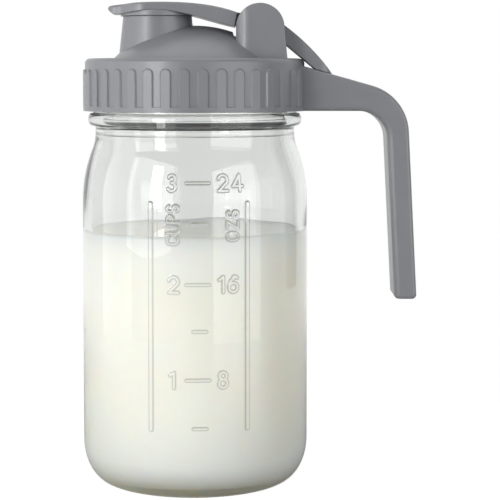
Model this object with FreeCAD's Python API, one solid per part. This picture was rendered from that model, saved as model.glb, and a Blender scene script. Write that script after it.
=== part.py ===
import FreeCAD, Part
import math
import os

# Pitcher made from a wide-mouth glass jar and a screw-on pouring lid with a handle.
# Millimetres, +Z up.  The origin is on the jar's axis, in the plane that it stands on.
# The spout points to -X and the handle to +X; the scale of marks faces -Y.

# ---- jar: glass --------------------------------------------------------------------
JAR_HEIGHT = 175.3           # the rim, over the standing plane
JAR_RADIUS = 47.1            # outside of the straight body
JAR_WALL = 3.6
JAR_FLOOR = 6.0              # glass under the contents, above the standing plane
PUSH_UP = 2.2                # height of the hollow under the base
HEEL_HEIGHT = 18.0           # the heel is a quarter ellipse, this high
HEEL_INSET = 12.0            # and this deep
BEARING_WIDTH = 2.4          # flat ring that the jar stands on
SHOULDER_RADIUS = 60.6
NECK_FILLET = 16.0
NECK_HEIGHT = 3.25           # straight neck between the fillet and the bead
NECK_INSET = 1.1             # the neck's radius is this much less than the finish's
BEAD_HEIGHT = 5.25           # rounded transfer bead under the lid
BEAD_ROOT = 0.6              # radius of the bead's two roots, over the finish
BEAD_PROUD = 1.95            # radius of its middle, over the finish
FINISH_RADIUS = 42.75        # cylinder that the lid goes over
FINISH_HEIGHT = 20.4         # from the bead up to the rim
FINISH_WALL = 4.05
INNER_HEEL_RADIUS = 9.0
LIP_ROUND = 1.0

# ---- raised marks on the jar's front -----------------------------------------------
MARK_PROUD = 0.45            # height over the glass
MARK_CENTRE_X = 2.9          # the scale's middle, a little to the right of the front
MARK_SHIFT = 0.4             # lines lie this far left of that middle, dashes this far right
MARK_STROKE = 1.3
CUP_LINE_HEIGHTS = (49.8, 87.85, 128.0)
HALF_DASH_HEIGHTS = (30.4, 69.2, 111.9)
CUP_LINE_LENGTH = 10.4
HALF_DASH_LENGTH = 6.4
SIDE_RIB_OFFSET = 19.1       # from the scale's middle to each upright rib
SIDE_RIB_WIDTH = 1.9
SIDE_RIB_BOTTOM = 28.9
SIDE_RIB_TOP = 120.7

# ---- milk --------------------------------------------------------------------------
MILK_LEVEL = 105.6
FILL_CLEARANCE = 0.05

# ---- lid: collar -------------------------------------------------------------------
PLATE_THICKNESS = 2.1        # the lid's plate lies on the jar's rim
COLLAR_HEIGHT = 21.7
COLLAR_CLEARANCE = 0.35      # around the jar's finish
COLLAR_WALL = 2.8
COLLAR_SHOULDER = 2.0
SHELL = 2.2                  # of the dome, and under the hollow between the ears
RIB_COUNT = 39
RIB_FIRST_ANGLE = -84.2      # degrees from +X, the middle of the first rib
RIB_PROUD = 0.75
RIB_ROOT = 0.6               # each rib starts this deep in the collar
RIB_WIDTH = 3.7
RIB_DRAFT = 0.55             # each side widens this much per millimetre of depth
RIB_TOP_DROP = 4.7           # from the ledge down to the ribs' tops
FLANGE_HEIGHT = 2.1

# ---- lid: dome and spout -----------------------------------------------------------
DOME_HEIGHT = 13.8
DOME_INSET = 11.9            # from the collar's outside to the dome's foot
SPOUT_INSET = 30.3           # from the collar's outside to the spout's axis
SPOUT_HEIGHT = 17.55         # over the ledge
SPOUT_RIM_RADIUS = 14.35
SPOUT_TAPER = 1.9            # the foot's radius is this much more than the rim's
SPOUT_FOOT_FILLET = 1.6
SPOUT_WALL = 2.15            # at the rim

# ---- lid: ears and hinge -----------------------------------------------------------
HINGE_INSET = 18.65          # from the collar's outside to the hinge's axis
HINGE_HEIGHT = 12.7          # over the ledge
EAR_RADIUS = 9.9
EAR_BASE_WALL = 9.2          # thickness at the collar's ledge
EAR_TOP_WALL = 5.9           # thickness at the top, so that the outer face leans in
EAR_SLANT = 1.3              # the right edge runs out this far on its way down
EAR_CORNER = 6.0             # rounding of the front corner that faces the spout
EAR_BACK_CORNER = 1.4
EAR_BLANK = 0.6              # margin of the leaning block that the ear is cut from
RECESS_RADIUS = 11.4         # hollow between the ears, about the hinge axis
PIN_RADIUS = 2.6
PIN_SEAT = 4.3               # each stub reaches this far into the cap's barrel
PIN_CLEARANCE = 0.08

# ---- lid: handle -------------------------------------------------------------------
HANDLE_HALF_WIDTH = 12.5
HANDLE_ROOT = 5.0            # the arm starts this deep inside the collar's outside
HANDLE_TOP_DROP = 3.3        # from the ledge to the arm's top, at the collar's outside
HANDLE_SLOPE = 15.9          # degrees down
HANDLE_REACH = 42.2          # from the collar to where the top meets the grip's outer edge
GRIP_THICKNESS = 9.2
GRIP_LEAN = 2.9              # degrees from upright, foot outwards
GRIP_DROP = 78.15            # from the collar's bottom to the grip's end
HANDLE_OUTER_BEND = 20.8
HANDLE_INNER_BEND = 11.7
GRIP_END_ROUND = 1.9
HANDLE_EDGE = 1.5            # rounding of the outer long edges
GRIP_INNER_EDGE = 2.8        # rounding of the edges that the fingers hold

# ---- flip cap ----------------------------------------------------------------------
SEAL_GAP = 0.12              # under the closed cap
CAP_OVERHANG = 1.25          # half the cap's width is this much over the spout's rim radius
CAP_TOP_HEIGHT = 5.45        # over the spout's rim
CAP_ARCH_HEIGHT = 2.55       # crown of the arch in the side edge, over the spout's rim
# Stations of the top: distance from the spout's axis, height over the crown.
CAP_TOP_STATIONS = ((-12.0, -0.35), (4.0, 0.2), (21.0, -1.0))
# Stations of the arch: distance past the rim on the hinge's side, height over the crown.
CAP_ARCH_STATIONS = ((6.35, -3.9), (-6.35, -0.8), (-13.35, 0.0), (-21.35, -0.5))
CAP_TAB_REACH = 6.25         # beyond the spout's rim
CAP_TAB_HALF_WIDTH = 6.5
CAP_TAB_FLARE = 1.4          # each side, where the tab meets the round part
CAP_TAB_DROP = 1.35          # from the cap's crown to the tab's tip
CAP_TIP_HEIGHT = 1.65        # of the tab's blunt end
CAP_TIP_RAKE = 0.5           # its lower edge lies this far back
CAP_TAB_RAMP = 2.4           # the tab's underside is level from here inwards
CAP_TAB_STEP = 0.75          # that underside over the seal
CAP_TAB_CORNER = 4.0
CAP_FLARE_CORNER = 3.0
CAP_CHEEK = 8.5              # the full width starts this far beyond the spout's axis
CAP_CHEEK_CORNER = 9.0
CAP_END_PAST = 0.55          # the wide part's end runs this far past the ears' front
CAP_END_RISE = 6.2           # its top edge, over the hinge's axis
CAP_END_DEPTH = 5.7
CAP_END_LEAN = 1.2           # its lower edge lies this far back
CAP_END_TAPER = 0.8          # each side narrows this much towards the end
CAP_DISC_OVERHANG = 1.0      # of the sealing disc, over the spout's rim radius
CAP_DISC_SINK = 0.6          # how far the disc reaches up into the plate
CAP_EDGE = 1.1
TONGUE_HALF_WIDTH = 7.9
TONGUE_OVERLAP = 3.0         # into the wide part
TONGUE_TOP_STEP = 0.35       # over the wide part's end
TONGUE_LOW_STEP = 1.0        # its underside, over the wide part's lower edge
BARREL_RADIUS = 5.4
PLUG_CLEARANCE = 0.45
PLUG_DEPTH = 2.75
PLUG_WALL = 1.8

# ---- carry loop --------------------------------------------------------------------
LOOP_SIDE_GAP = 0.35         # beside the barrel and beside the ears
LOOP_ARM_WIDTH = 3.4
LOOP_EYE_RADIUS = 5.6
LOOP_REACH = 11.2            # beyond the collar's outside
LOOP_BULGE = 1.15            # of the curved top edge over its chord
LOOP_DEPTH = 6.9             # along the handle's top, at the end
LOOP_BAR_DEPTH = 8.6         # of the cross bar, along the loop's length
LOOP_CORNER = 4.6
LOOP_INNER_CORNER = 3.0
LOOP_REST_GAP = 0.15         # over the handle's top
# Corners of the band near the hinge: distance beyond the hinge's axis, height over it.
LOOP_TOP_START = (1.2, 5.45)
LOOP_SHOULDER = (9.6, 1.3)
LOOP_LOW_TURN = (10.9, -7.0)
LOOP_LOW_START = (-1.5, -5.35)

# ---- sizes that follow from these --------------------------------------------------
NECK_RADIUS = FINISH_RADIUS - NECK_INSET
MOUTH_RADIUS = FINISH_RADIUS - FINISH_WALL
BEAD_TOP = JAR_HEIGHT - FINISH_HEIGHT
BEAD_BOTTOM = BEAD_TOP - BEAD_HEIGHT
NECK_START = BEAD_BOTTOM - NECK_HEIGHT

LEDGE_Z = JAR_HEIGHT + PLATE_THICKNESS
COLLAR_BOTTOM = LEDGE_Z - COLLAR_HEIGHT
COLLAR_BORE = FINISH_RADIUS + COLLAR_CLEARANCE
COLLAR_RADIUS = COLLAR_BORE + COLLAR_WALL
RIB_RADIUS = COLLAR_RADIUS + RIB_PROUD
DOME_FOOT = COLLAR_RADIUS - DOME_INSET
SPOUT_X = SPOUT_INSET - COLLAR_RADIUS
SPOUT_RIM_Z = LEDGE_Z + SPOUT_HEIGHT
SPOUT_BORE = SPOUT_RIM_RADIUS - SPOUT_WALL
HINGE_X = COLLAR_RADIUS - HINGE_INSET
HINGE_Z = LEDGE_Z + HINGE_HEIGHT
LOOP_INNER_Y = TONGUE_HALF_WIDTH + LOOP_SIDE_GAP
LOOP_OUTER_Y = LOOP_INNER_Y + LOOP_ARM_WIDTH
EAR_INNER_Y = LOOP_OUTER_Y + LOOP_SIDE_GAP
PIN_BORE = PIN_RADIUS + PIN_CLEARANCE
SEAL_Z = SPOUT_RIM_Z + SEAL_GAP
CAP_HALF_WIDTH = SPOUT_RIM_RADIUS + CAP_OVERHANG
CAP_TIP_X = SPOUT_X - SPOUT_RIM_RADIUS - CAP_TAB_REACH
CAP_TOP_Z = SPOUT_RIM_Z + CAP_TOP_HEIGHT
CAP_ARCH_Z = SPOUT_RIM_Z + CAP_ARCH_HEIGHT
CAP_DISC_RADIUS = SPOUT_RIM_RADIUS + CAP_DISC_OVERHANG
CAP_END_X = HINGE_X - EAR_RADIUS + CAP_END_PAST
CAP_END_TOP_Z = HINGE_Z + CAP_END_RISE
LOOP_END_X = COLLAR_RADIUS + LOOP_REACH

BEYOND = 1.0                 # how far a cutting or joining shape runs past what it meets
ROUND_SHARE = 1 - math.sqrt(0.5)   # of a radius, from a rounded corner's middle to its sides

UP = FreeCAD.Vector(0, 0, 1)
ALONG_Y = FreeCAD.Vector(0, 1, 0)
ORIGIN = FreeCAD.Vector(0, 0, 0)


def side(x, z):
    """A point in the plane of symmetry."""
    return FreeCAD.Vector(x, 0, z)


def plan(x, y, z=0.0):
    """A point seen from above."""
    return FreeCAD.Vector(x, y, z)


def line(start, end):
    return Part.LineSegment(start, end).toShape()


def arc(start, middle, end):
    return Part.Arc(start, middle, end).toShape()


def closed(points):
    """A closed wire of straight edges."""
    return Part.makePolygon(points + points[:1])


def rounded_outline(corners):
    """A closed wire through (point, radius) corners, each rounded by a tangent arc."""
    edges = []
    bends = []
    count = len(corners)
    for index, (point, radius) in enumerate(corners):
        if radius <= 0:
            bends.append((point, None, point))
            continue
        back = (corners[index - 1][0] - point).normalize()
        ahead = (corners[(index + 1) % count][0] - point).normalize()
        half_angle = back.getAngle(ahead) / 2
        reach = radius / math.tan(half_angle)
        centre_way = (back + ahead).normalize()
        middle = point + centre_way * (radius / math.sin(half_angle) - radius)
        bends.append((point + back * reach, middle, point + ahead * reach))
    for index, (start, middle, end) in enumerate(bends):
        if middle is not None:
            edges.append(arc(start, middle, end))
        following = bends[(index + 1) % count][0]
        if (following - end).Length > 1e-6:
            edges.append(line(end, following))
    return Part.Wire(edges)


def prism(wire, way):
    return Part.Face(wire).extrude(way)


def across(wire, half_width):
    """A side outline carried from -half_width to +half_width along Y."""
    solid = prism(wire, ALONG_Y * (2 * half_width))
    solid.translate(ALONG_Y * -half_width)
    return solid


def turned(edges):
    """The solid of revolution about the jar's axis of a closed side outline."""
    return Part.Face(Part.Wire(edges)).revolve(ORIGIN, UP, 360)


def hinge_cylinder(radius, half_length):
    """A cylinder about the hinge's axis, from -half_length to +half_length along Y."""
    start = FreeCAD.Vector(HINGE_X, -half_length, HINGE_Z)
    return Part.makeCylinder(radius, 2 * half_length, start, ALONG_Y)


def edges_where(shape, test):
    """The edges whose middle passes a test."""
    found = []
    for edge in shape.Edges:
        if test(edge.valueAt((edge.FirstParameter + edge.LastParameter) / 2)):
            found.append(edge)
    return found


def arch_radius(span, rise):
    """Radius of the circle through an arch's crown and its foot, which is span away."""
    return (span ** 2 + rise ** 2) / (2 * rise)


def arch_height(span, rise, x):
    """Height of a round arch over its foot, at x from the crown's axis."""
    radius = arch_radius(span, rise)
    return math.sqrt(radius ** 2 - x ** 2) - (radius - rise)


# ---- jar ---------------------------------------------------------------------------
def shoulder(proud):
    """The shoulder's circle and the neck's fillet, for a surface moved out by proud.

    Gives the shoulder circle's centre, the fillet circle's x and the angle at which they touch.
    """
    centre_x = JAR_RADIUS + proud - SHOULDER_RADIUS
    fillet_x = NECK_RADIUS + proud + NECK_FILLET
    rise = math.sqrt((SHOULDER_RADIUS + NECK_FILLET) ** 2 - (fillet_x - centre_x) ** 2)
    turn = math.atan2(rise, fillet_x - centre_x)
    return side(centre_x, NECK_START - rise), fillet_x, turn


def on_circle(centre, radius, turn):
    """The point of a side circle at an angle up from +X."""
    return centre + side(radius * math.cos(turn), radius * math.sin(turn))


def jar_side_edges(proud=0.0):
    """The jar's outside from the bearing ring up to the rim, moved out by proud."""
    heel_x = JAR_RADIUS - HEEL_INSET + proud
    body_x = JAR_RADIUS + proud
    heel = Part.Ellipse(side(heel_x, 0), side(body_x, HEEL_HEIGHT), side(heel_x, HEEL_HEIGHT))
    start = heel.parameter(side(heel_x, 0))
    end = heel.parameter(side(body_x, HEEL_HEIGHT))
    centre, fillet_x, turn = shoulder(proud)
    meet = on_circle(centre, SHOULDER_RADIUS, turn)
    shoulder_mid = on_circle(centre, SHOULDER_RADIUS, turn / 2)
    fillet_mid = on_circle(side(fillet_x, NECK_START), -NECK_FILLET, turn / 2)
    body_top = side(body_x, centre.z)
    neck_low = side(NECK_RADIUS + proud, NECK_START)
    neck_high = side(NECK_RADIUS + proud, BEAD_BOTTOM)
    finish_x = FINISH_RADIUS + proud
    bead_low = side(finish_x + BEAD_ROOT, BEAD_BOTTOM)
    bead_mid = side(finish_x + BEAD_PROUD, (BEAD_BOTTOM + BEAD_TOP) / 2)
    bead_high = side(finish_x + BEAD_ROOT, BEAD_TOP)
    finish_low = side(finish_x, BEAD_TOP)
    lip_low = side(finish_x, JAR_HEIGHT - LIP_ROUND)
    lip_mid = side(finish_x - LIP_ROUND * ROUND_SHARE, JAR_HEIGHT - LIP_ROUND * ROUND_SHARE)
    lip_high = side(finish_x - LIP_ROUND, JAR_HEIGHT)
    return [
        Part.ArcOfEllipse(heel, start, end).toShape(),
        line(side(body_x, HEEL_HEIGHT), body_top),
        arc(body_top, shoulder_mid, meet),
        arc(meet, fillet_mid, neck_low),
        line(neck_low, neck_high),
        line(neck_high, bead_low),
        arc(bead_low, bead_mid, bead_high),
        line(bead_high, finish_low),
        line(finish_low, lip_low),
        arc(lip_low, lip_mid, lip_high),
    ]


def jar_body(proud=0.0):
    """The jar's full outer form, without its inside, with the hollow under the base."""
    ring_outer = side(JAR_RADIUS - HEEL_INSET + proud, 0)
    ring_inner = side(JAR_RADIUS - HEEL_INSET - BEARING_WIDTH, 0)
    half_way = ring_inner.x / 2
    push_mid = side(half_way, arch_height(ring_inner.x, PUSH_UP, half_way))
    rim_outer = side(FINISH_RADIUS + proud - LIP_ROUND, JAR_HEIGHT)
    edges = jar_side_edges(proud)
    edges += [
        line(rim_outer, side(0, JAR_HEIGHT)),
        line(side(0, JAR_HEIGHT), side(0, PUSH_UP)),
        arc(side(0, PUSH_UP), push_mid, ring_inner),
        line(ring_inner, ring_outer),
    ]
    return turned(edges)


def inside_of_jar(clearance=0.0):
    """The space inside the glass, open past the rim, less a clearance all round."""
    radius = JAR_RADIUS - JAR_WALL - clearance
    floor = JAR_FLOOR + clearance
    heel = INNER_HEEL_RADIUS
    heel_mid = side(radius - heel * ROUND_SHARE, floor + heel * ROUND_SHARE)
    mouth = MOUTH_RADIUS - clearance
    top = JAR_HEIGHT + BEYOND
    centre, _, turn = shoulder(-JAR_WALL - clearance)
    body_top = side(radius, centre.z)
    shoulder_mid = on_circle(centre, SHOULDER_RADIUS, turn / 2)
    meet = on_circle(centre, SHOULDER_RADIUS, turn)
    return turned([
        line(side(0, floor), side(radius - heel, floor)),
        arc(side(radius - heel, floor), heel_mid, side(radius, floor + heel)),
        line(side(radius, floor + heel), body_top),
        arc(body_top, shoulder_mid, meet),
        line(meet, side(mouth, NECK_START)),
        line(side(mouth, NECK_START), side(mouth, top)),
        line(side(mouth, top), side(0, top)),
        line(side(0, top), side(0, floor)),
    ])


def mark_block(centre_x, width, low_z, high_z):
    """A block through the jar's front, as wide and high as one raised mark."""
    front = JAR_RADIUS + MARK_PROUD + BEYOND
    corner = FreeCAD.Vector(centre_x - width / 2, -front, low_z)
    return Part.makeBox(width, front, high_z - low_z, corner)


def mark_blocks():
    """Blocks for the lines at the whole marks, the dashes at the halves and the two ribs."""
    level_marks = [(MARK_CENTRE_X - MARK_SHIFT, CUP_LINE_LENGTH, z) for z in CUP_LINE_HEIGHTS]
    level_marks += [(MARK_CENTRE_X + MARK_SHIFT, HALF_DASH_LENGTH, z) for z in HALF_DASH_HEIGHTS]
    half = MARK_STROKE / 2
    blocks = [mark_block(centre, width, z - half, z + half) for centre, width, z in level_marks]
    for sign in (-1, 1):
        centre = MARK_CENTRE_X + sign * SIDE_RIB_OFFSET
        blocks.append(mark_block(centre, SIDE_RIB_WIDTH, SIDE_RIB_BOTTOM, SIDE_RIB_TOP))
    return blocks


def make_jar():
    raised_skin = jar_body(MARK_PROUD)
    marks = [block.common(raised_skin) for block in mark_blocks()]
    return jar_body().fuse(marks).cut(inside_of_jar())


def make_milk():
    return inside_of_jar(FILL_CLEARANCE).common(Part.makeCylinder(JAR_RADIUS, MILK_LEVEL))


# ---- lid ---------------------------------------------------------------------------
def dome(foot_z, shrink):
    """The lid's shallow dome down to foot_z, its sphere smaller by shrink."""
    radius = arch_radius(DOME_FOOT, DOME_HEIGHT)
    centre_z = LEDGE_Z + DOME_HEIGHT - radius
    sphere = radius - shrink
    foot = side(math.sqrt(sphere ** 2 - (foot_z - centre_z) ** 2), foot_z)
    middle_x = foot.x / 2
    middle = side(middle_x, centre_z + math.sqrt(sphere ** 2 - middle_x ** 2))
    top = side(0, centre_z + sphere)
    return turned([
        arc(top, middle, foot),
        line(foot, side(0, foot_z)),
        line(side(0, foot_z), top),
    ])


def collar():
    """The screw collar as a full disc: smooth band, rounded shoulder and bottom flange."""
    turn_in = COLLAR_SHOULDER * ROUND_SHARE
    flange_top = COLLAR_BOTTOM + FLANGE_HEIGHT
    band_top = side(COLLAR_RADIUS, LEDGE_Z - COLLAR_SHOULDER)
    ledge_edge = side(COLLAR_RADIUS - COLLAR_SHOULDER, LEDGE_Z)
    return turned([
        line(side(0, COLLAR_BOTTOM), side(RIB_RADIUS, COLLAR_BOTTOM)),
        line(side(RIB_RADIUS, COLLAR_BOTTOM), side(RIB_RADIUS, flange_top)),
        line(side(RIB_RADIUS, flange_top), side(COLLAR_RADIUS, flange_top)),
        line(side(COLLAR_RADIUS, flange_top), band_top),
        arc(band_top, side(COLLAR_RADIUS - turn_in, LEDGE_Z - turn_in), ledge_edge),
        line(ledge_edge, side(0, LEDGE_Z)),
        line(side(0, LEDGE_Z), side(0, COLLAR_BOTTOM)),
    ])


def rib_wire(distance):
    """A rib's outline, upright with an arched top, in the plane x = distance."""
    half = RIB_WIDTH / 2 + RIB_DRAFT * (RIB_RADIUS - distance)
    spring = LEDGE_Z - RIB_TOP_DROP - RIB_WIDTH / 2
    foot = COLLAR_BOTTOM + FLANGE_HEIGHT / 2
    left_top = FreeCAD.Vector(distance, -half, spring)
    right_top = FreeCAD.Vector(distance, half, spring)
    left = FreeCAD.Vector(distance, -half, foot)
    right = FreeCAD.Vector(distance, half, foot)
    return Part.Wire([
        line(left, right),
        line(right, right_top),
        arc(right_top, FreeCAD.Vector(distance, 0, spring + half), left_top),
        line(left_top, left),
    ])


def ribs():
    """The grip ribs round the collar, each with drafted sides."""
    one = Part.makeLoft([rib_wire(COLLAR_RADIUS - RIB_ROOT), rib_wire(RIB_RADIUS)], True)
    copies = []
    for index in range(RIB_COUNT):
        rib = one.copy()
        rib.rotate(ORIGIN, UP, RIB_FIRST_ANGLE + index * 360 / RIB_COUNT)
        copies.append(rib)
    return copies


def spout():
    """The tapered spout as a full cone, with a small fillet at its foot."""
    slope = SPOUT_TAPER / SPOUT_HEIGHT
    fillet = SPOUT_FOOT_FILLET
    reach = fillet * math.tan((math.pi / 2 - math.atan(slope)) / 2)
    foot = side(SPOUT_RIM_RADIUS + SPOUT_TAPER, LEDGE_Z)
    tangent_high = foot + side(-slope, 1).normalize() * reach
    tangent_low = foot + side(reach, 0)
    centre = tangent_low + side(0, fillet)
    toward_foot = (foot - centre).normalize()
    rim = side(SPOUT_RIM_RADIUS, SPOUT_RIM_Z)
    low = side(0, LEDGE_Z - BEYOND)
    skirt = side(tangent_low.x, LEDGE_Z - BEYOND)
    solid = turned([
        line(low, skirt),
        line(skirt, tangent_low),
        arc(tangent_low, centre + toward_foot * fillet, tangent_high),
        line(tangent_high, rim),
        line(rim, side(0, SPOUT_RIM_Z)),
        line(side(0, SPOUT_RIM_Z), low),
    ])
    solid.translate(side(SPOUT_X, 0))
    return solid


def ear_plan(z, wall, sign):
    """The section at a height of the block that an ear is cut from, its outer corners rounded."""
    left = HINGE_X - EAR_RADIUS - EAR_BLANK
    right = HINGE_X + EAR_RADIUS + EAR_SLANT + EAR_BLANK
    inner_y = sign * EAR_INNER_Y
    outer_y = sign * (EAR_INNER_Y + wall)
    return rounded_outline([
        (plan(left, inner_y, z), 0),
        (plan(right, inner_y, z), 0),
        (plan(right, outer_y, z), EAR_BACK_CORNER),
        (plan(left, outer_y, z), EAR_CORNER),
    ])


def ear(sign):
    """A tombstone-shaped ear whose outer face leans in towards its round top."""
    low = LEDGE_Z - BEYOND
    high = HINGE_Z + EAR_RADIUS + BEYOND
    block = Part.makeLoft([ear_plan(low, EAR_BASE_WALL, sign), ear_plan(high, EAR_TOP_WALL, sign)], True)
    upper_right = side(HINGE_X + EAR_RADIUS, HINGE_Z)
    upper_left = side(HINGE_X - EAR_RADIUS, HINGE_Z)
    lower_left = side(HINGE_X - EAR_RADIUS, low)
    lower_right = side(HINGE_X + EAR_RADIUS + EAR_SLANT, low)
    outline = Part.Wire([
        line(lower_right, upper_right),
        arc(upper_right, side(HINGE_X, HINGE_Z + EAR_RADIUS), upper_left),
        line(upper_left, lower_left),
        line(lower_left, lower_right),
    ])
    return block.common(across(outline, EAR_INNER_Y + EAR_BASE_WALL + BEYOND))


def pins():
    """The two stubs on the ears' inner faces that the cap and the loop turn on."""
    gap = hinge_cylinder(PIN_RADIUS + BEYOND, TONGUE_HALF_WIDTH - PIN_SEAT)
    return hinge_cylinder(PIN_RADIUS, EAR_INNER_Y + BEYOND).cut(gap)


def handle():
    """The one-piece handle: a sloping arm, a wide bend and a straight grip."""
    lean = math.tan(math.radians(GRIP_LEAN))
    root_x = COLLAR_RADIUS - HANDLE_ROOT
    corner_x = COLLAR_RADIUS + HANDLE_REACH
    end_z = COLLAR_BOTTOM - GRIP_DROP
    outer_end_x = corner_x + lean * (handle_top_at(corner_x) - end_z)
    inner_end_x = outer_end_x - GRIP_THICKNESS
    inner_corner_x = inner_end_x - lean * GRIP_DROP
    bar = across(rounded_outline([
        (side(root_x, handle_top_at(root_x)), 0),
        (side(corner_x, handle_top_at(corner_x)), HANDLE_OUTER_BEND),
        (side(outer_end_x, end_z), 0),
        (side(inner_end_x, end_z), 0),
        (side(inner_corner_x, COLLAR_BOTTOM), HANDLE_INNER_BEND),
        (side(root_x, COLLAR_BOTTOM), 0),
    ]), HANDLE_HALF_WIDTH)

    def is_long(middle):
        on_flank = abs(abs(middle.y) - HANDLE_HALF_WIDTH) < 1e-4
        return on_flank and middle.x > root_x + BEYOND and middle.z > end_z + BEYOND

    def is_inner(middle):
        grip_middle = inner_corner_x + GRIP_THICKNESS / 2 + lean * (COLLAR_BOTTOM - middle.z)
        return is_long(middle) and middle.z < COLLAR_BOTTOM + BEYOND and middle.x < grip_middle

    def is_outer(middle):
        return is_long(middle) and not is_inner(middle)

    bar = bar.makeFillet(HANDLE_EDGE, edges_where(bar, is_outer))
    bar = bar.makeFillet(GRIP_INNER_EDGE, edges_where(bar, is_inner))
    end_edges = edges_where(bar, lambda middle: middle.z < end_z + 1e-3)
    return bar.makeFillet(GRIP_END_ROUND, end_edges)


def cavity_under_lid():
    """The space inside the lid: the screw bore, the dome and the spout's bore."""
    bore_height = JAR_HEIGHT - COLLAR_BOTTOM + BEYOND
    bore = Part.makeCylinder(COLLAR_BORE, bore_height, side(0, COLLAR_BOTTOM - BEYOND))
    kept_half = EAR_INNER_Y + SHELL
    inner_dome = dome(JAR_HEIGHT - BEYOND, SHELL).cut(hinge_cylinder(RECESS_RADIUS + SHELL, kept_half))
    bore_start = JAR_HEIGHT - BEYOND
    spout_bore = Part.makeCylinder(SPOUT_BORE, SPOUT_RIM_Z + BEYOND - bore_start, side(SPOUT_X, bore_start))
    return inner_dome.fuse([bore, spout_bore])


def make_lid():
    shell = collar().fuse([dome(LEDGE_Z - BEYOND, 0), spout()])
    shell = shell.cut(hinge_cylinder(RECESS_RADIUS, EAR_INNER_Y))
    shell = shell.fuse([ear(-1), ear(1), handle()] + ribs())
    return shell.cut(cavity_under_lid()).fuse(pins())


# ---- flip cap ----------------------------------------------------------------------
def smooth(points):
    """One smooth curve through a few points."""
    curve = Part.BSplineCurve()
    curve.interpolate(points)
    return curve.toShape()


def cap_side_outline():
    """The cap from the side: a thin tab, an arch over the spout, a deepening lever."""
    tab_under = SEAL_Z + CAP_TAB_STEP
    tip_top = side(CAP_TIP_X, CAP_TOP_Z - CAP_TAB_DROP)
    tip_low = tip_top + side(CAP_TIP_RAKE, -CAP_TIP_HEIGHT)
    ramp_end = side(CAP_TIP_X + CAP_TAB_RAMP, tab_under)
    arch_start = side(SPOUT_X - CAP_DISC_RADIUS, tab_under)
    end_top = side(CAP_END_X, CAP_END_TOP_Z)
    end_low = end_top - side(CAP_END_LEAN, CAP_END_DEPTH)
    top_stations = [side(SPOUT_X + x, CAP_TOP_Z + z) for x, z in CAP_TOP_STATIONS]
    rim_x = SPOUT_X + SPOUT_RIM_RADIUS
    arch_stations = [side(rim_x + x, CAP_ARCH_Z + z) for x, z in CAP_ARCH_STATIONS]
    return Part.Wire([
        smooth([tip_top] + top_stations + [end_top]),
        line(end_top, end_low),
        smooth([end_low] + arch_stations + [arch_start]),
        line(arch_start, ramp_end),
        line(ramp_end, tip_low),
        line(tip_low, tip_top),
    ])


def cap_plan_outline(low_z):
    """The cap from above: a narrow tab, a round part over the spout, straight sides."""
    flare_x = SPOUT_X - SPOUT_RIM_RADIUS
    half = [
        (plan(CAP_TIP_X, -CAP_TAB_HALF_WIDTH, low_z), CAP_TAB_CORNER),
        (plan(flare_x, -CAP_TAB_HALF_WIDTH - CAP_TAB_FLARE, low_z), CAP_FLARE_CORNER),
        (plan(SPOUT_X - CAP_CHEEK, -CAP_HALF_WIDTH, low_z), CAP_CHEEK_CORNER),
        (plan(CAP_END_X, -CAP_HALF_WIDTH + CAP_END_TAPER, low_z), 0),
    ]
    mirrored = [(plan(point.x, -point.y, low_z), radius) for point, radius in reversed(half)]
    return rounded_outline(half + mirrored)


def cap_plate():
    """The wide part and its tab, with a soft top edge: one half, mirrored."""
    low_z = min(CAP_END_TOP_Z - CAP_END_DEPTH, SEAL_Z) - BEYOND
    height = CAP_TOP_Z + 2 * BEYOND - low_z
    blank = across(cap_side_outline(), CAP_HALF_WIDTH + BEYOND)
    whole = blank.common(prism(cap_plan_outline(low_z), UP * height))
    width = CAP_HALF_WIDTH + BEYOND
    length = CAP_END_X - CAP_TIP_X + 2 * BEYOND
    near_side = Part.makeBox(length, width, height, FreeCAD.Vector(CAP_TIP_X - BEYOND, -width, low_z))
    half = whole.common(near_side)
    top_face = max(half.Faces, key=lambda face: face.CenterOfMass.z)
    soft = edges_where(top_face, lambda middle: middle.x < CAP_END_X - 0.01 and middle.y < -0.01)
    half = half.makeFillet(CAP_EDGE, soft)
    return half.fuse(half.mirror(ORIGIN, ALONG_Y))


def tongue_outline():
    """The narrow part of the lever, from the wide part to the barrel."""
    start_x = CAP_END_X - TONGUE_OVERLAP
    return closed([
        side(start_x, CAP_END_TOP_Z + TONGUE_TOP_STEP),
        side(HINGE_X, HINGE_Z + BARREL_RADIUS),
        side(HINGE_X, HINGE_Z - BARREL_RADIUS / 2),
        side(start_x, CAP_END_TOP_Z - CAP_END_DEPTH + TONGUE_LOW_STEP),
    ])


def make_flip_cap():
    disc_top = CAP_ARCH_Z + CAP_DISC_SINK
    disc = Part.makeCylinder(CAP_DISC_RADIUS, disc_top - SEAL_Z, side(SPOUT_X, SEAL_Z))
    plug_radius = SPOUT_BORE - PLUG_CLEARANCE
    plug_foot = side(SPOUT_X, SEAL_Z - PLUG_DEPTH)
    plug = Part.makeCylinder(plug_radius, PLUG_DEPTH + BEYOND, plug_foot)
    plug_hollow = Part.makeCylinder(plug_radius - PLUG_WALL, PLUG_DEPTH, plug_foot)
    tongue = across(tongue_outline(), TONGUE_HALF_WIDTH)
    barrel = hinge_cylinder(BARREL_RADIUS, TONGUE_HALF_WIDTH)
    bore = hinge_cylinder(PIN_BORE, TONGUE_HALF_WIDTH + BEYOND)
    return cap_plate().fuse([disc, plug, tongue, barrel]).cut(plug_hollow).cut(bore)


# ---- carry loop --------------------------------------------------------------------
def handle_top_at(x):
    """Height of the handle arm's top edge."""
    return LEDGE_Z - HANDLE_TOP_DROP - math.tan(math.radians(HANDLE_SLOPE)) * (x - COLLAR_RADIUS)


def beside_hinge(offset):
    """A side point given from the hinge's axis."""
    return side(HINGE_X + offset[0], HINGE_Z + offset[1])


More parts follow.
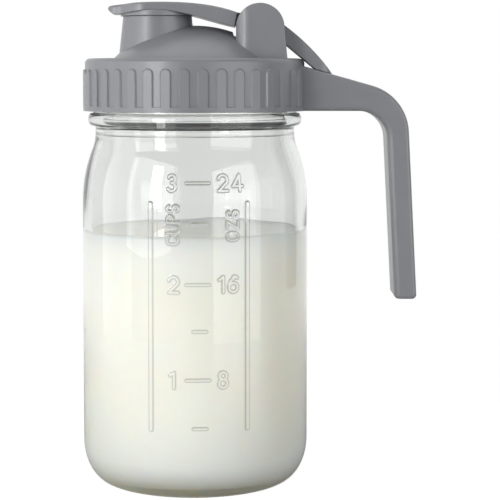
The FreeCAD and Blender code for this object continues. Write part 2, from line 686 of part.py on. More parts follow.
def loop_side_outline():
    """The loop from the side: a band that runs down from the hinge to the handle's top."""
    end_high = side(LOOP_END_X, handle_top_at(LOOP_END_X) + LOOP_REST_GAP)
    end_low_x = LOOP_END_X - LOOP_DEPTH
    end_low = side(end_low_x, handle_top_at(end_low_x) + LOOP_REST_GAP)
    top_start = beside_hinge(LOOP_TOP_START)
    top_turn = beside_hinge(LOOP_SHOULDER)
    low_turn = beside_hinge(LOOP_LOW_TURN)
    low_start = beside_hinge(LOOP_LOW_START)
    way = end_high - top_turn
    normal = side(-way.z, way.x).normalize()
    bulge = (top_turn + end_high) * 0.5 + normal * LOOP_BULGE
    return Part.Wire([
        line(top_start, top_turn),
        arc(top_turn, bulge, end_high),
        line(end_high, end_low),
        line(end_low, low_turn),
        line(low_turn, low_start),
        line(low_start, top_start),
    ])


def loop_plan_outline(half_width, far_x, corner):
    """The loop's outer or inner outline from above, with rounded far corners."""
    low_z = handle_top_at(LOOP_END_X) - BEYOND
    near_x = HINGE_X - LOOP_EYE_RADIUS - BEYOND
    return rounded_outline([
        (plan(near_x, -half_width, low_z), 0),
        (plan(far_x, -half_width, low_z), corner),
        (plan(far_x, half_width, low_z), corner),
        (plan(near_x, half_width, low_z), 0),
    ])


def make_carry_loop():
    height = HINGE_Z + LOOP_EYE_RADIUS - handle_top_at(LOOP_END_X) + 2 * BEYOND
    band = across(loop_side_outline(), LOOP_OUTER_Y)
    eyes = hinge_cylinder(LOOP_EYE_RADIUS, LOOP_OUTER_Y)
    outer = prism(loop_plan_outline(LOOP_OUTER_Y, LOOP_END_X, LOOP_CORNER), UP * height)
    gap_end_x = LOOP_END_X - LOOP_BAR_DEPTH
    inner = prism(loop_plan_outline(LOOP_INNER_Y, gap_end_x, LOOP_INNER_CORNER), UP * height)
    bore = hinge_cylinder(PIN_BORE, LOOP_OUTER_Y + BEYOND)
    return band.fuse(eyes).common(outer).cut(inner).cut(bore)


NODES = {
    "jar": make_jar,
    "milk": make_milk,
    "lid": make_lid,
    "flip_cap": make_flip_cap,
    "carry_loop": make_carry_loop,
}

os.makedirs("parts", exist_ok=True)
for node, make in NODES.items():
    shape = make().removeSplitter()
    solids = shape.Solids
    piece = solids[0] if len(solids) == 1 else shape
    piece.exportStep(f"parts/{node}.step")
    box = piece.BoundBox
    print(
        f"{node}: {len(solids)} solid, valid {piece.isValid()}, {piece.Volume / 1000:.1f} cm3, "
        f"x {box.XMin:.1f}..{box.XMax:.1f}, y {box.YMin:.1f}..{box.YMax:.1f}, "
        f"z {box.ZMin:.1f}..{box.ZMax:.1f}"
    )
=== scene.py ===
"""Finish of a milk pitcher: moulded glass jar, the milk in it, a satin grey pouring lid, and the studio.

The jar and the milk are surfaces of revolution worked out here, with the measuring scale raised on the
jar's front.  The lid, the flip cap and the carry loop keep their construction meshes and get a finish.
Lengths of the pieces and their finishes are millimetres, and those of the studio are metres.
"""
import logging
import math
from dataclasses import dataclass, field
from enum import Enum
from typing import Any, Mapping, Sequence

import bpy
import numpy as np
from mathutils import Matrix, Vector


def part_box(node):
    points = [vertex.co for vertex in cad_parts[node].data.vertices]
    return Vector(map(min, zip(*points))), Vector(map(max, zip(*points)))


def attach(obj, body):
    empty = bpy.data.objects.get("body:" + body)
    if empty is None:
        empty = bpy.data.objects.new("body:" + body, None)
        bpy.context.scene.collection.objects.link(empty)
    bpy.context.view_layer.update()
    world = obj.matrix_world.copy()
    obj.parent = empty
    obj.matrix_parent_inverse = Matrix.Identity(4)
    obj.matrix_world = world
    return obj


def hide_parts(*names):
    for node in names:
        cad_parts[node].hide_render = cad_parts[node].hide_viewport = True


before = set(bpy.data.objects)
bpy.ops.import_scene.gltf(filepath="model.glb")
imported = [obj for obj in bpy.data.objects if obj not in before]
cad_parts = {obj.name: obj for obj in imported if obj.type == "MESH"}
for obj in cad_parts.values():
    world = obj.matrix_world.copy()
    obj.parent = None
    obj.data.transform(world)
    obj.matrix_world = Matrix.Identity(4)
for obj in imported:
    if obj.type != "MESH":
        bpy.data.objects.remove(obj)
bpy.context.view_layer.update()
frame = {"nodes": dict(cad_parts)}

MM = 0.001
BODY = "pitcher"
# painted shade along the raised marks' outlines and the mould seam, kept as a point attribute
EDGE_SHADE = "mark_edge_shade"

Colour = tuple[float, float, float, float]
Point = tuple[float, float]
Input = Any

log = logging.getLogger("pitcher")


# ---- shader toolkit ----------------------------------------------------------------
class Value:
    """A number socket; arithmetic on it adds Math nodes to its tree."""

    def __init__(self, tree: "Tree", socket: bpy.types.NodeSocket) -> None:
        """Wraps a socket of a tree."""
        self.tree = tree
        self.socket = socket

    def __add__(self, other: Input) -> "Value":
        """Sum."""
        return self.tree.math("ADD", self, other)

    __radd__ = __add__

    def __sub__(self, other: Input) -> "Value":
        """Difference."""
        return self.tree.math("SUBTRACT", self, other)

    def __rsub__(self, other: Input) -> "Value":
        """Difference taken from a plain number."""
        return self.tree.math("SUBTRACT", other, self)

    def __mul__(self, other: Input) -> "Value":
        """Product."""
        return self.tree.math("MULTIPLY", self, other)

    __rmul__ = __mul__

    def larger(self, other: Input) -> "Value":
        """The larger of two values."""
        return self.tree.math("MAXIMUM", self, other)

    def between(self, low: float, high: float) -> "Value":
        """0 below low, 1 above high, with a soft step between; low may lie above high."""
        settings = {"interpolation_type": "SMOOTHSTEP"}
        inputs = {"Value": self, "From Min": low, "From Max": high}
        return self.tree.value("ShaderNodeMapRange", settings, inputs)


class Tree:
    """One node tree, with one method for any node and short forms for the common ones."""

    def __init__(self, owner: bpy.types.Material | bpy.types.World | bpy.types.Light) -> None:
        """Empties the owner's node tree and keeps it."""
        owner.use_nodes = True
        self.nodes = owner.node_tree.nodes
        self.links = owner.node_tree.links
        self.nodes.clear()

    def node(
        self, kind: str, settings: Mapping[str, Any] | None = None, inputs: Mapping[Any, Input] | None = None
    ) -> bpy.types.Node:
        """Adds a node.

        Args:
            kind: the node's type.
            settings: its properties, set before the sockets.
            inputs: a value or a link for each socket, by name or number.

        Returns:
            The new node.
        """
        made = self.nodes.new(kind)
        for key, setting in (settings or {}).items():
            setattr(made, key, setting)
        for key, source in (inputs or {}).items():
            self.feed(made.inputs[key], source)
        return made

    def feed(self, socket: bpy.types.NodeSocket, source: Input) -> None:
        """Links a socket to a Value or another socket, or sets its plain value."""
        if isinstance(source, Value):
            source = source.socket
        if isinstance(source, bpy.types.NodeSocket):
            self.links.new(source, socket)
        else:
            socket.default_value = source

    def value(
        self, kind: str, settings: Mapping[str, Any] | None = None,
        inputs: Mapping[Any, Input] | None = None, output: Any = 0,
    ) -> Value:
        """Adds a node and wraps one of its outputs.

        Args:
            kind: the node's type.
            settings: its properties.
            inputs: a value or a link for each socket.
            output: the output's name or number.

        Returns:
            That output as a Value.
        """
        return Value(self, self.node(kind, settings, inputs).outputs[output])

    def math(self, operation: str, first: Input, second: Input = 0.0) -> Value:
        """Adds a Math node on two values."""
        return self.value("ShaderNodeMath", {"operation": operation}, {0: first, 1: second})

    def mix_colour(self, factor: Input, first: Input, second: Input) -> bpy.types.NodeSocket:
        """Blends two colours.

        Args:
            factor: 0 for the first colour, 1 for the second.
            first: a colour or a socket.
            second: a colour or a socket.

        Returns:
            The blended colour's socket.
        """
        made = self.node("ShaderNodeMix", {"data_type": "RGBA"}, {0: factor, 6: first, 7: second})
        return made.outputs[2]

    def mix_shader(self, factor: Input, first: Input, second: Input) -> bpy.types.NodeSocket:
        """Blends two shaders by a factor."""
        return self.node("ShaderNodeMixShader", None, {0: factor, 1: first, 2: second}).outputs[0]

    def place(self) -> bpy.types.NodeSocket:
        """The point's place in the object's own frame, in metres."""
        return self.node("ShaderNodeTexCoord").outputs["Object"]

    def axes(self, place: bpy.types.NodeSocket) -> tuple[Value, Value, Value]:
        """Splits a place into its three numbers."""
        split = self.node("ShaderNodeSeparateXYZ", None, {0: place})
        return Value(self, split.outputs[0]), Value(self, split.outputs[1]), Value(self, split.outputs[2])

    def noise(self, place: Input, size: float, detail: float = 2.0) -> Value:
        """Even noise from 0 to 1.

        Args:
            place: where it is read.
            size: width of its features in metres.
            detail: how many finer layers it has.

        Returns:
            The noise.
        """
        inputs = {"Vector": place, "Scale": 1 / size, "Detail": detail}
        return self.value("ShaderNodeTexNoise", {"noise_dimensions": "3D"}, inputs, "Fac")

    def ray(self, name: str) -> Value:
        """1 for rays of a kind, such as 'Is Camera Ray'."""
        return self.value("ShaderNodeLightPath", None, None, name)


def new_material(name: str) -> tuple[bpy.types.Material, Tree]:
    """A new material and its empty tree."""
    material = bpy.data.materials.new(name)
    return material, Tree(material)


# ---- finishes ----------------------------------------------------------------------
@dataclass(frozen=True)
class SatinPlastic:
    """Injection-moulded polypropylene: a fine eroded grain, faint cloudiness and softened edges."""

    name: str
    colour: Colour
    pale: Colour
    roughness: float = 0.34
    shine: float = 0.7
    refraction: float = 1.5
    cloud: float = 14.0
    cloud_span: Point = (0.3, 0.75)
    cloud_sway: float = 0.05
    grain: float = 0.32
    grain_depth: float = 0.012
    grain_strength: float = 0.25
    grain_sway: float = 0.06
    edge_round: float = 0.35

    def make(self) -> bpy.types.Material:
        """Builds the material."""
        material, tree = new_material(self.name)
        place = tree.place()
        cloud = tree.noise(place, self.cloud * MM, 3.0)
        grain = tree.noise(place, self.grain * MM)
        edge = tree.node("ShaderNodeBevel", {"samples": 4}, {"Radius": self.edge_round * MM})
        bump = tree.node("ShaderNodeBump", None, {
            "Strength": self.grain_strength, "Distance": self.grain_depth * MM,
            "Height": grain, "Normal": edge.outputs[0],
        })
        shader = tree.node("ShaderNodeBsdfPrincipled", None, {
            "Base Color": tree.mix_colour(cloud.between(*self.cloud_span), self.colour, self.pale),
            "Roughness": self.roughness + self.grain_sway * (grain - 0.5) + self.cloud_sway * (cloud - 0.5),
            "Normal": bump.outputs[0],
            "IOR": self.refraction,
            "Specular IOR Level": self.shine,
        })
        tree.node("ShaderNodeOutputMaterial", None, {0: shader.outputs[0]})
        return material


@dataclass(frozen=True)
class ClearGlass:
    """Pressed container glass, very slightly green, that lets lamps through to what is in it.

    The outlines of raised marks and the mould seam get a painted shade: a dark glass colour that
    stands in for the light that so fine a step turns away.
    """

    name: str = "jar_glass"
    tint: Colour = (0.872, 0.876, 0.868, 1.0)
    # painted shade on the marks' outlines and the seam, where the steep glass turns the light away
    painted_edge_shade: Colour = (0.22, 0.23, 0.22, 1.0)
    shade: Colour = (0.985, 0.985, 0.97, 1.0)
    absorbing: Colour = (0.42, 0.56, 0.48, 1.0)
    absorption: float = 16.0
    refraction: float = 1.52
    ripple: float = 9.0
    ripple_depth: float = 0.05
    ripple_strength: float = 0.2

    def make(self) -> bpy.types.Material:
        """Builds the material: smooth glass, and a clear stand-in for shadow rays."""
        material, tree = new_material(self.name)
        ripple = tree.noise(tree.place(), self.ripple * MM, 1.0)
        bump = tree.node("ShaderNodeBump", None, {
            "Strength": self.ripple_strength, "Distance": self.ripple_depth * MM, "Height": ripple,
        })
        # mask of the painted edge shade: the glass colour darkens along the marks' outlines and the seam
        # line
        edges = tree.value("ShaderNodeAttribute", {"attribute_name": EDGE_SHADE}, None, "Fac")
        glass = tree.node("ShaderNodeBsdfPrincipled", None, {
            "Base Color": tree.mix_colour(edges, self.tint, self.painted_edge_shade),
            "Roughness": 0.0,
            "IOR": self.refraction,
            "Transmission Weight": 1.0,
            "Normal": bump.outputs[0],
        })
        clear = tree.node("ShaderNodeBsdfTransparent", None, {"Color": self.shade})
        surface = tree.mix_shader(tree.ray("Is Shadow Ray"), glass.outputs[0], clear.outputs[0])
        depth = tree.node("ShaderNodeVolumeAbsorption", None, {
            "Color": self.absorbing, "Density": self.absorption,
        })
        tree.node("ShaderNodeOutputMaterial", None, {"Surface": surface, "Volume": depth.outputs[0]})
        return material


@dataclass(frozen=True)
class WholeMilk:
    """Milk: cream white, with light that wanders under the surface and warms on the dark side."""

    level: float
    name: str = "milk"
    body: Colour = (0.918, 0.893, 0.830, 1.0)
    # painted shade: the milk's top and the band just under the level, a little darker and cooler as the lid
    # shades them
    painted_top_shade: Colour = (0.875, 0.885, 0.845, 1.0)
    fade: float = 7.0
    cloud: float = 30.0
    cloud_span: Point = (0.3, 0.7)
    cloud_lift: tuple[float, float, float] = (1.01, 1.01, 1.03)
    roughness: float = 0.25
    refraction: float = 1.35
    wander_share: float = 0.9
    wander: float = 42.0
    wander_by_colour: tuple[float, float, float] = (1.0, 0.76, 0.52)

    def make(self) -> bpy.types.Material:
        """Builds the material: the body's cream, and a painted shade at the top, a cooler and slightly
        darker band just under the level.
        """
        material, tree = new_material(self.name)
        place = tree.place()
        height = tree.axes(place)[2]
        # mask of the painted top shade: 1 at and above the level, fading out below it
        top_shade = height.between((self.level - self.fade) * MM, self.level * MM)
        cloud = tree.noise(place, self.cloud * MM)
        cream = tree.mix_colour(cloud.between(*self.cloud_span), self.body, self.paler())
        shader = tree.node("ShaderNodeBsdfPrincipled", None, {
            "Base Color": tree.mix_colour(top_shade, cream, self.painted_top_shade),
            "Roughness": self.roughness,
            "IOR": self.refraction,
            "Subsurface Weight": self.wander_share,
            "Subsurface Radius": self.wander_by_colour,
            "Subsurface Scale": self.wander * MM,
        })
        tree.node("ShaderNodeOutputMaterial", None, {0: shader.outputs[0]})
        return material

    def paler(self) -> Colour:
        """The body's colour a little nearer to white."""
        red, green, blue = (part * lift for part, lift in zip(self.body, self.cloud_lift))
        return (red, green, blue, self.body[3])


@dataclass(frozen=True)
class PaleFloor:
    """A pale floor that looks white and keeps a faint shadow.

    For light it is a plain surface of the given albedo.  The eye sees its glow, and on top a share,
    kept, of the light and shadow that fall on it.  Its fade is two distances from the pitcher's axis,
    in metres: it is whole up to the first and gone from the second on.
    """

    name: str = "pale_floor"
    albedo: float = 0.72
    glow: float = 0.90
    kept: float = 0.34
    fade: Point = (0.12, 0.65)
    grain: float = 25.0
    grain_dark: float = 0.99

    def make(self) -> bpy.types.Material:
        """Builds the material: plain for light, nearly white for the eye, fading out with distance."""
        material, tree = new_material(self.name)
        place = tree.place()
        across, along, _ = tree.axes(place)
        distance = tree.math("SQRT", across * across + along * along)
        grain = tree.noise(place, self.grain * MM)
        dark, pale = ((self.albedo * share,) * 3 + (1,) for share in (self.grain_dark, 1.0))
        colour = tree.mix_colour(grain, dark, pale)
        plain = tree.node("ShaderNodeBsdfDiffuse", None, {"Color": colour})
        dim = tree.node("ShaderNodeBsdfDiffuse", None, {"Color": (self.kept,) * 3 + (1,)})
        glow = tree.node("ShaderNodeEmission", None, {"Color": (1, 1, 1, 1), "Strength": self.glow})
        white = tree.node("ShaderNodeAddShader", None, {0: dim.outputs[0], 1: glow.outputs[0]})
        lit = tree.mix_shader(tree.ray("Is Camera Ray"), plain.outputs[0], white.outputs[0])
        clear = tree.node("ShaderNodeBsdfTransparent")
        surface = tree.mix_shader(distance.between(*self.fade), lit, clear.outputs[0])
        tree.node("ShaderNodeOutputMaterial", None, {0: surface})
        return material


# ---- surfaces ----------------------------------------------------------------------
@dataclass
class Outline:
    """A side outline as arrays of (radius, height), put together from straight and round runs."""

    runs: list[np.ndarray] = field(default_factory=list)

    def straight(self, start: Point, end: Point, steps: int) -> "Outline":
        """Adds a straight run: start + share * (end - start)."""
        share = np.linspace(0.0, 1.0, steps + 1)[:, None]
        self.runs.append(np.asarray(start) + share * (np.asarray(end) - np.asarray(start)))
        return self

    def round(self, centre: Point, radii: Point, first: float, last: float, steps: int) -> "Outline":
        """Adds part of an ellipse: centre + (a cos t, b sin t), with t from first to last degrees."""
        turn = np.radians(np.linspace(first, last, steps + 1))
        self.runs.append(np.stack([
            centre[0] + radii[0] * np.cos(turn), centre[1] + radii[1] * np.sin(turn),
        ], axis=1))
        return self

    def through(self, radii: np.ndarray, heights: np.ndarray) -> "Outline":
        """Adds a run that is worked out already, as radius against height."""
        self.runs.append(np.stack([radii, heights], axis=1))
        return self

    def points(self) -> np.ndarray:
        """All runs in order, without points that repeat."""
        joined = np.concatenate(self.runs)
        step = np.linalg.norm(np.diff(joined, axis=0), axis=1)
        closest = 1e-4
        return joined[np.concatenate([[True], step > closest])]


def graded(low: float, high: float, coarse: float, fine: float, bands: Sequence[Point]) -> np.ndarray:
    """Steps from low to high: even coarse ones, and even fine ones inside the bands.

    Args:
        low: first value.
        high: last value.
        coarse: step outside the bands.
        fine: step inside the bands.
        bands: (from, to) pairs that may overlap.

    Returns:
        The values in rising order, none of them nearer to the last than about half a fine step.
    """
    starts, ends = np.asarray(bands).T[:, :, None]
    steps, inside = [], []
    for step in (coarse, fine):
        row = np.linspace(low, high, max(2, round((high - low) / step)) + 1)
        steps.append(row)
        inside.append(((row > starts) & (row < ends)).any(axis=0))
    merged = np.sort(np.concatenate([steps[0][~inside[0]], steps[1][inside[1]]]))
    closest = 0.45 * fine
    return merged[np.concatenate([[True], np.diff(merged) > closest])]


def revolved(name: str, radii: np.ndarray, heights: np.ndarray, angles: np.ndarray) -> bpy.types.Object:
    """A closed surface of revolution whose first and last rows are points on the axis.

    A point is (r sin a, -r cos a, z), where a is the angle from the front towards +X, r and z are
    given for each row and column, and each of the two end rows becomes one pole.

    Args:
        name: the piece's name.
        radii: radius in millimetres, one row for each outline point and one column for each angle.
        heights: height in millimetres, in the same layout.
        angles: the columns' angles in radians, rising, once round.

    Returns:
        The new object, linked to the scene.
    """
    rows, columns = radii.shape
    grid = np.stack([radii * np.sin(angles), -radii * np.cos(angles), heights], axis=2)
    ring = grid[1:-1].reshape(-1, 3)
    places = np.concatenate([grid[:1, 0], ring, grid[-1:, 0]]) * MM
    index = 1 + np.arange((rows - 2) * columns).reshape(rows - 2, columns)
    after = np.roll(index, -1, axis=1)
    quads = np.stack([index[:-1], after[:-1], after[1:], index[1:]], axis=2).reshape(-1, 4)
    last = len(places) - 1
    start_fan = np.stack([np.zeros(columns, int), after[0], index[0]], axis=1)
    end_fan = np.stack([np.full(columns, last), index[-1], after[-1]], axis=1)
    corners = np.concatenate([quads.ravel(), start_fan.ravel(), end_fan.ravel()])
    counts = np.concatenate([np.full(len(quads), 4), np.full(2 * columns, 3)])
    mesh = bpy.data.meshes.new(name)
    mesh.vertices.add(len(places))
    mesh.vertices.foreach_set("co", places.ravel())
    mesh.loops.add(len(corners))
    mesh.loops.foreach_set("vertex_index", corners)
    mesh.polygons.add(len(counts))
    mesh.polygons.foreach_set("loop_start", np.concatenate([[0], np.cumsum(counts)[:-1]]))
    mesh.polygons.foreach_set("use_smooth", np.ones(len(counts), dtype=bool))
    mesh.update(calc_edges=True)
    mesh.validate()
    piece = bpy.data.objects.new(name, mesh)
    bpy.context.scene.collection.objects.link(piece)
    return piece


# ---- raised marks ------------------------------------------------------------------
@dataclass(frozen=True)
class Bar:
    """A straight stroke between two points."""

    start: Point
    end: Point

    def distance(self, across: np.ndarray, up: np.ndarray) -> np.ndarray:
        """How far each point lies from the stroke: to its nearest point, with the ends included."""
        way = np.subtract(self.end, self.start)
        length = float(way @ way)
        share = ((across - self.start[0]) * way[0] + (up - self.start[1]) * way[1]) / length
        share = np.clip(share, 0.0, 1.0)
        return np.hypot(across - self.start[0] - share * way[0], up - self.start[1] - share * way[1])


@dataclass(frozen=True)
class Bow:
    """A round stroke: part of a circle, anticlockwise from first to last, in degrees."""

    centre: Point
    radius: float
    first: float
    last: float

    def distance(self, across: np.ndarray, up: np.ndarray) -> np.ndarray:
        """How far each point lies from the arc, or from its nearer end beyond its span."""
        side = across - self.centre[0]
        rise = up - self.centre[1]
        turn = (np.degrees(np.arctan2(rise, side)) - self.first) % 360.0
        to_ends = []
        for end in np.radians((self.first, self.last)):
            to_ends.append(np.hypot(side - self.radius * np.cos(end), rise - self.radius * np.sin(end)))
        to_arc = np.abs(np.hypot(side, rise) - self.radius)
        return np.where(turn <= self.last - self.first, to_arc, np.minimum(*to_ends))


@dataclass(frozen=True)
class Figure:
    """A numeral or letter: its width and strokes, as shares of the height of its middle line."""

    width: float
    strokes: tuple[Bar | Bow, ...]


FIGURES = {
    "1": Figure(0.30, (Bar((0.30, 0), (0.30, 1)), Bar((0.30, 1), (0.04, 0.80)))),
    "2": Figure(0.62, (
        Bow((0.31, 0.70), 0.30, -38, 168), Bar((0.546, 0.515), (0.02, 0)), Bar((0.02, 0), (0.62, 0)),
    )),
    "3": Figure(0.56, (Bow((0.27, 0.76), 0.24, -90, 155), Bow((0.27, 0.26), 0.26, -155, 90))),
    "4": Figure(0.66, (
        Bar((0.47, 0), (0.47, 1)), Bar((0.47, 1), (0, 0.29)), Bar((0, 0.29), (0.66, 0.29)),
    )),
    "6": Figure(0.60, (
        Bow((0.30, 0.29), 0.29, 0, 360), Bow((0.66, 0.33), 0.65, 104, 182), Bow((0.40, 0.80), 0.20, 30, 120),
    )),
    "8": Figure(0.58, (Bow((0.28, 0.77), 0.23, 0, 360), Bow((0.28, 0.27), 0.27, 0, 360))),
    "C": Figure(0.64, (
        Bow((0.33, 0.67), 0.33, 25, 180), Bar((0, 0.67), (0, 0.33)), Bow((0.33, 0.33), 0.33, 180, 335),
    )),
    "U": Figure(0.60, (
        Bar((0, 1), (0, 0.3)), Bow((0.30, 0.30), 0.30, 180, 360), Bar((0.60, 0.3), (0.60, 1)),
    )),
    "P": Figure(0.58, (
        Bar((0, 0), (0, 1)), Bar((0, 1), (0.32, 1)),
        Bow((0.32, 0.75), 0.25, -90, 90), Bar((0.32, 0.5), (0, 0.5)),
    )),
    "S": Figure(0.56, (Bow((0.28, 0.745), 0.255, 25, 270), Bow((0.28, 0.245), 0.245, -155, 90))),
    "O": Figure(0.66, (
        Bow((0.33, 0.67), 0.33, 0, 180), Bow((0.33, 0.33), 0.33, 180, 360),
        Bar((0, 0.67), (0, 0.33)), Bar((0.66, 0.67), (0.66, 0.33)),
    )),
    "Z": Figure(0.60, (Bar((0, 1), (0.60, 1)), Bar((0.60, 1), (0, 0)), Bar((0, 0), (0.60, 0)))),
}


class Reading(Enum):
    """Which way a line of figures runs on the jar."""

    ACROSS = "across"
    UPWARDS = "upwards"


@dataclass(frozen=True)
class FigureLine:
    """Raised figures in a row, by their near end and the middle of their height."""

    text: str
    start: float
    middle: float
    tall: float
    reading: Reading = Reading.ACROSS
    stroke: float = 1.25
    gap: float = 0.16

    def ridge(self, around: np.ndarray, height: np.ndarray) -> np.ndarray:
        """How far inside the strokes each point lies, in millimetres; below 0 is outside.

        Args:
            around: length along the glass from the front's middle, in millimetres.
            height: height over the standing plane, in millimetres.

        Returns:
            Half the stroke's width less the distance from the nearest stroke.
        """
        scale = self.tall - self.stroke
        if self.reading is Reading.ACROSS:
            across = (around - self.start - self.stroke / 2) / scale
            up = (height - self.middle + scale / 2) / scale
        else:
            across = (height - self.start - self.stroke / 2) / scale
            up = (self.middle + scale / 2 - around) / scale
        nearest = np.full(np.broadcast(around, height).shape, np.inf)
        offset = 0.0
        for letter in self.text:
            figure = FIGURES[letter]
            for stroke in figure.strokes:
                nearest = np.minimum(nearest, stroke.distance(across - offset, up))
            offset += figure.width + self.gap + self.stroke / scale
        return self.stroke / 2 - nearest * scale

    def bands(self) -> tuple[Point, Point]:
        """The (from, to) spans along the glass and in height that need fine steps."""
        scale = self.tall - self.stroke
        run = sum(FIGURES[letter].width + self.gap for letter in self.text) - self.gap
        long = run * scale + self.stroke * len(self.text)
        margin = 0.5
        reach = self.tall / 2 + margin
        spans = (
            (self.start - margin, self.start + long + margin),
            (self.middle - reach, self.middle + reach),
        )
        return spans if self.reading is Reading.ACROSS else (spans[1], spans[0])


@dataclass(frozen=True)
class RaisedBar:
    """A straight raised bar with round ends, given by the ends of its middle line."""

    stroke: Bar
    width: float

    def ridge(self, around: np.ndarray, height: np.ndarray) -> np.ndarray:
        """Half the bar's width less the distance from its middle line."""
        return self.width / 2 - self.stroke.distance(around, height)


@dataclass
class MeasuringScale:
    """The raised scale: two upright ribs, lines at the whole marks, dashes at the halves, figures.

    Places are millimetres from the front's middle and over the standing plane.  A mark's side is a
    soft step as wide as edge, and its outline is a band that reaches as far as outline on both sides.
    """

    radius: float
    proud: float = 0.45
    edge: float = 0.32
    outline: float = 0.42
    middle: float = 2.9
    line_shift: float = 0.4
    whole_marks: tuple[float, ...] = (49.8, 87.85, 128.0)
    half_marks: tuple[float, ...] = (30.4, 69.2, 111.9)
    line_length: float = 10.4
    dash_length: float = 6.4
    line_width: float = 1.15
    rib_offset: float = 19.1
    rib_width: float = 1.8
    rib_span: Point = (28.9, 120.7)
    rib_end_reach: float = 1.5
    near_figures: tuple[str, ...] = ("1", "2", "3")
    far_figures: tuple[str, ...] = ("8", "16", "24")
    near_starts: tuple[float, ...] = (-9.5, -9.7, -10.2)
    far_start: float = 10.2
    tall: float = 7.4
    words: tuple[FigureLine, ...] = (
        FigureLine("CUPS", 103.4, -7.4, 5.6, Reading.UPWARDS, stroke=1.05, gap=0.10),
        FigureLine("OZS", 104.8, 16.5, 5.6, Reading.UPWARDS, stroke=1.05, gap=0.14),
    )

    def along(self, x: float) -> float:
        """Length along the glass for a place given across the front."""
        return self.radius * math.asin(x / self.radius)

    def figure_lines(self) -> list[FigureLine]:
        """The numerals beside the whole marks, and the two unit words."""
        lines = list(self.words)
        for near, far, start, height in zip(
            self.near_figures, self.far_figures, self.near_starts, self.whole_marks
        ):
            lines.append(FigureLine(near, start, height, self.tall))
            lines.append(FigureLine(far, self.far_start, height, self.tall))
        return lines

    def bars(self) -> list[RaisedBar]:
        """The upright ribs, the lines and the dashes."""
        bars = []
        for sign in (-1, 1):
            at = self.along(self.middle + sign * self.rib_offset)
            low, high = (self.rib_span[0] + self.rib_width / 2, self.rib_span[1] - self.rib_width / 2)
            bars.append(RaisedBar(Bar((at, low), (at, high)), self.rib_width))
        for heights, length, shift in (
            (self.whole_marks, self.line_length, -self.line_shift),
            (self.half_marks, self.dash_length, self.line_shift),
        ):
            half = (length - self.line_width) / 2
            centre = self.middle + shift
            for height in heights:
                ends = (self.along(centre - half), height), (self.along(centre + half), height)
                bars.append(RaisedBar(Bar(*ends), self.line_width))
        return bars

    def relief(self, around: np.ndarray, height: np.ndarray) -> tuple[np.ndarray, np.ndarray]:
        """The raised marks: a soft step as wide as edge at each stroke's side.

        Args:
            around: length along the glass from the front's middle.
            height: height over the standing plane.

        Returns:
            The relief's height in millimetres, and how near each point is to a mark's outline, which the
            glass turns into painted shade: 1 half way up the step, falling to 0 at outline's width on both
                sides.
        """
        inside = np.full(np.broadcast(around, height).shape, -np.inf)
        for mark in (*self.figure_lines(), *self.bars()):
            inside = np.maximum(inside, mark.ridge(around, height))
        share = np.clip(inside / self.edge + 0.5, 0.0, 1.0)
        near = np.clip(1.0 - np.abs(inside) / self.outline, 0.0, 1.0)
        return self.proud * share * share * (3.0 - 2.0 * share), near

    def height_bands(self) -> list[Point]:
        """Spans of height that need fine rows."""
        bands = [line.bands()[1] for line in self.figure_lines()]
        reach = self.line_width / 2 + 2 * self.edge
        bands += [(height - reach, height + reach) for height in self.half_marks]
        bands += [(end - self.rib_end_reach, end + self.rib_end_reach) for end in self.rib_span]
        return bands

    def around_bands(self) -> list[Point]:
        """Spans along the glass that need fine columns."""
        bands = [line.bands()[0] for line in self.figure_lines()]
        reach = self.rib_width / 2 + 2 * self.edge
        for bar in self.bars():
            start, end = bar.stroke.start[0], bar.stroke.end[0]
            bands += [(start - reach, start + reach), (end - reach, end + reach)]
        return bands


